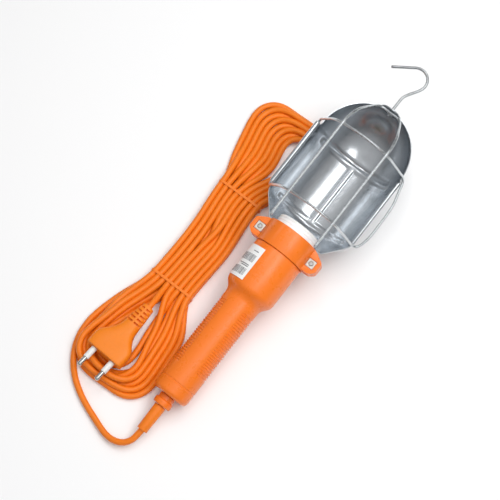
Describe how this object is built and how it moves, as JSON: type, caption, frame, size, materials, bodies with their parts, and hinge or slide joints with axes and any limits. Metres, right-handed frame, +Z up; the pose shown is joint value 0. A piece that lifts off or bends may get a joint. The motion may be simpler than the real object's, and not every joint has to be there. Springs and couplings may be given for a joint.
{
  "type": "caged inspection lamp with cord and plug",
  "caption": "Hand-held corded work light with a moulded handle, pressed reflector, hinged wire guard, swivel hook and tied cord hank.",
  "frame": {"origin": "below the middle of the lamp's own box, on the surface it lies on, cord and plug left out", "axes": "+X from the handle's end towards the hook, +Y towards the guard's hinge side, +Z up, away from the surface"},
  "size_m": [0.3887, 0.1519, 0.092],
  "materials": {
    "orange_plastic": "satin moulded plastic",
    "orange_pvc": "soft satin PVC",
    "white_holder": "satin white moulding",
    "zinc_sheet": "bright zinc plated sheet",
    "zinc_wire": "bright zinc plated wire",
    "fastener_steel": "zinc plated",
    "brass_contact": "plain",
    "brown_core": "satin PVC",
    "blue_core": "satin PVC",
    "label_paper": "matt white",
    "pin_metal": "nickel plated",
    "pin_sleeve_white": "satin"
  },
  "bodies": {
    "lamp": {"handle_shell": "orange_plastic", "end_collar": "orange_plastic", "strain_relief": "orange_pvc", "label": "label_paper", "clamp_front_half": "orange_plastic", "clamp_rear_half": "orange_plastic", "clamp_screw_left": "fastener_steel", "clamp_screw_right": "fastener_steel", "clamp_nut_left": "fastener_steel", "clamp_nut_right": "fastener_steel", "lampholder_skirt": "white_holder", "lampholder_base": "white_holder", "thread_shell": "brass_contact", "centre_contact": "brass_contact", "side_contact": "brass_contact", "terminal_screw_1": "brass_contact", "terminal_screw_2": "brass_contact", "core_wire_brown": "brown_core", "core_wire_blue": "blue_core", "cord_tail": "orange_pvc", "cord_clamp_saddle": "white_holder", "cord_clamp_bar": "white_holder", "cord_clamp_screw_1": "fastener_steel", "cord_clamp_screw_2": "fastener_steel", "reflector": "zinc_sheet", "cord_lead": "orange_pvc", "cord_hank": "orange_pvc", "cord_plug_lead": "orange_pvc", "cord_tie_1": "orange_pvc", "cord_tie_2": "orange_pvc", "plug_body": "orange_pvc", "plug_pin_1": "pin_metal", "plug_pin_2": "pin_metal", "pin_sleeve_1": "pin_sleeve_white", "pin_sleeve_2": "pin_sleeve_white"},
    "guard": {"guard_frame_wire": "zinc_wire", "guard_loop_wire": "zinc_wire"},
    "swivel_hook": {"hook": "zinc_wire", "hook_washer": "zinc_wire", "hook_push_nut": "zinc_wire"}
  },
  "joints": [
    {"name": "guard_hinge", "type": "hinge", "parent": "lamp", "child": "guard", "pos_m": [0.0666, 0.04525, 0.04628], "axis": [-0.9898, 0, -0.1427], "range_deg": [0, 120]},
    {"name": "hook_swivel", "type": "hinge", "parent": "lamp", "child": "swivel_hook", "pos_m": [0.13917, 0.00285, 0.05674], "axis": [0.9898, 0, 0.1427], "continuous": true}
  ]
}
